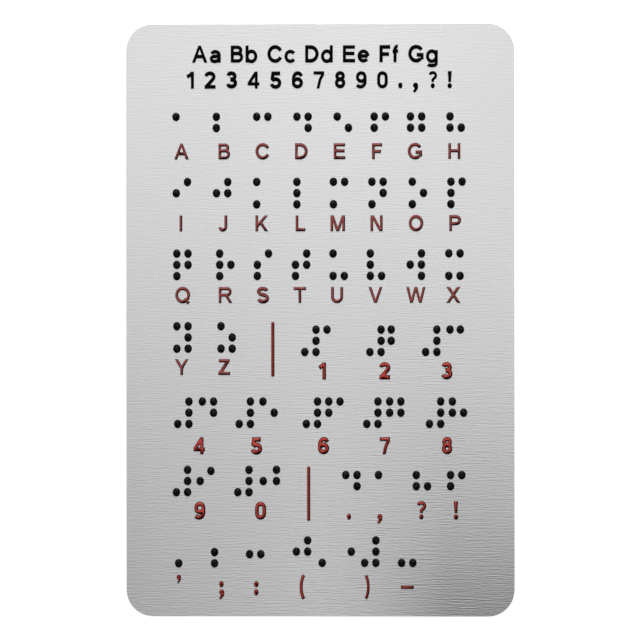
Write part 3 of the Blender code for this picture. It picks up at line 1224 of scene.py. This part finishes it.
def make_floor():
    """Pale round floor that takes the board's shadow, white from above and clear from
    below."""
    bm = bmesh.new()
    bmesh.ops.create_circle(bm, cap_ends=True, segments=FLOOR_SIDES, radius=FLOOR_RADIUS,
                            matrix=Matrix.Translation((0, 0, -FLOOR_DROP)))
    floor = link_new("floor", to_mesh(bm, "floor"))
    material = bpy.data.materials.new("pale_floor")
    material.use_nodes = True
    nodes = Nodes(material.node_tree)
    shader = material.node_tree.nodes["Principled BSDF"]
    feed(nodes, shader, Base_Color=(*colours().floor, 1), Roughness=0.9,
         Specular_IOR_Level=0.0)
    rays = nodes.add("ShaderNodeLightPath")
    seen = rays["Is Camera Ray"].at_least(rays["Is Glossy Ray"]).at_least(
        rays["Is Transmission Ray"])
    glow = nodes.add("ShaderNodeEmission",
                     {"Color": (1, 1, 1, 1), "Strength": seen * FLOOR_GLOW})
    both = nodes.add("ShaderNodeAddShader",
                     {0: Value(nodes, shader.outputs[0]), 1: glow})
    under = nodes.add("ShaderNodeNewGeometry", output="Backfacing")
    sided = nodes.add("ShaderNodeMixShader", {
        0: under.at_least(rays["Is Shadow Ray"]), 1: both,
        2: nodes.add("ShaderNodeBsdfTransparent")})
    feed(nodes, material.node_tree.nodes["Material Output"], Surface=sided)
    floor.data.materials.append(material)


def make_world():
    """Even soft light from all round, seen white behind the floor."""
    world = bpy.data.worlds.new("soft_daylight")
    bpy.context.scene.world = world
    world.use_nodes = True
    nodes = Nodes(world.node_tree)
    seen = nodes.add("ShaderNodeLightPath")["Is Camera Ray"]
    feed(nodes, world.node_tree.nodes["Background"], Color=(1, 1, 1, 1),
         Strength=WORLD_GLOW + seen * (1 - WORLD_GLOW))


def make_lamp(tilt, bearing, width, power):
    """A round softbox that faces the board from this direction."""
    lamp = bpy.data.lights.new("softbox", "AREA")
    lamp.shape = "DISK"
    lamp.size = width
    lamp.energy = power
    turn = (math.radians(-tilt), 0, math.radians(-bearing))
    box = link_new("softbox", lamp)
    box.rotation_euler = turn
    box.location = Euler(turn).to_matrix() @ Vector((0, 0, LAMP_DISTANCE))


def make_camera():
    """Camera almost straight above the board, as the photograph was taken."""
    camera = link_new("camera", bpy.data.cameras.new("camera"))
    camera.location = CAMERA_PLACE
    camera.rotation_euler = [math.radians(turn) for turn in CAMERA_TURN]
    camera.data.lens = CAMERA_LENS
    camera.data.sensor_width = SENSOR_WIDTH
    camera.data.clip_start, camera.data.clip_end = CAMERA_REACH
    bpy.context.scene.camera = camera


class BOARD_OT_stage(Operator):
    """Pale floor, soft light and the camera"""

    bl_idname = "board.stage"
    bl_label = "Stage"

    def execute(self, context):
        context.scene.view_settings.view_transform = "Standard"
        make_floor()
        make_world()
        for lamp in LAMPS:
            make_lamp(*lamp)
        make_camera()
        return {"FINISHED"}


PIECES = (BOARD_OT_face_sheet, BOARD_OT_bonding_film, BOARD_OT_backing_plate,
          BOARD_OT_braille_beads, BOARD_OT_divider_bars, BOARD_OT_letters,
          BOARD_OT_digits, BOARD_OT_heading, BOARD_OT_stage)


class BOARD_PT_panel(Panel):
    """Sizes, colours and pieces of the board"""

    bl_idname = "BOARD_PT_panel"
    bl_label = "Braille board"
    bl_space_type = "VIEW_3D"
    bl_region_type = "UI"
    bl_category = "Braille board"

    def draw(self, context):
        for group in (context.scene.board_sizes, context.scene.board_colours):
            box = self.layout.box()
            for name in group.__annotations__:
                box.prop(group, name)
        for piece in PIECES:
            self.layout.operator(piece.bl_idname)


CLASSES = (BoardSizes, BoardColours, *PIECES, BOARD_PT_panel)


def register():
    for cls in CLASSES:
        bpy.utils.register_class(cls)
    bpy.types.Scene.board_sizes = PointerProperty(type=BoardSizes)
    bpy.types.Scene.board_colours = PointerProperty(type=BoardColours)


def unregister():
    del bpy.types.Scene.board_colours
    del bpy.types.Scene.board_sizes
    for cls in reversed(CLASSES):
        bpy.utils.unregister_class(cls)


def main():
    register()
    for piece in PIECES:
        group, name = piece.bl_idname.split(".")
        getattr(getattr(bpy.ops, group), name)()


if __name__ == "__main__":
    main()
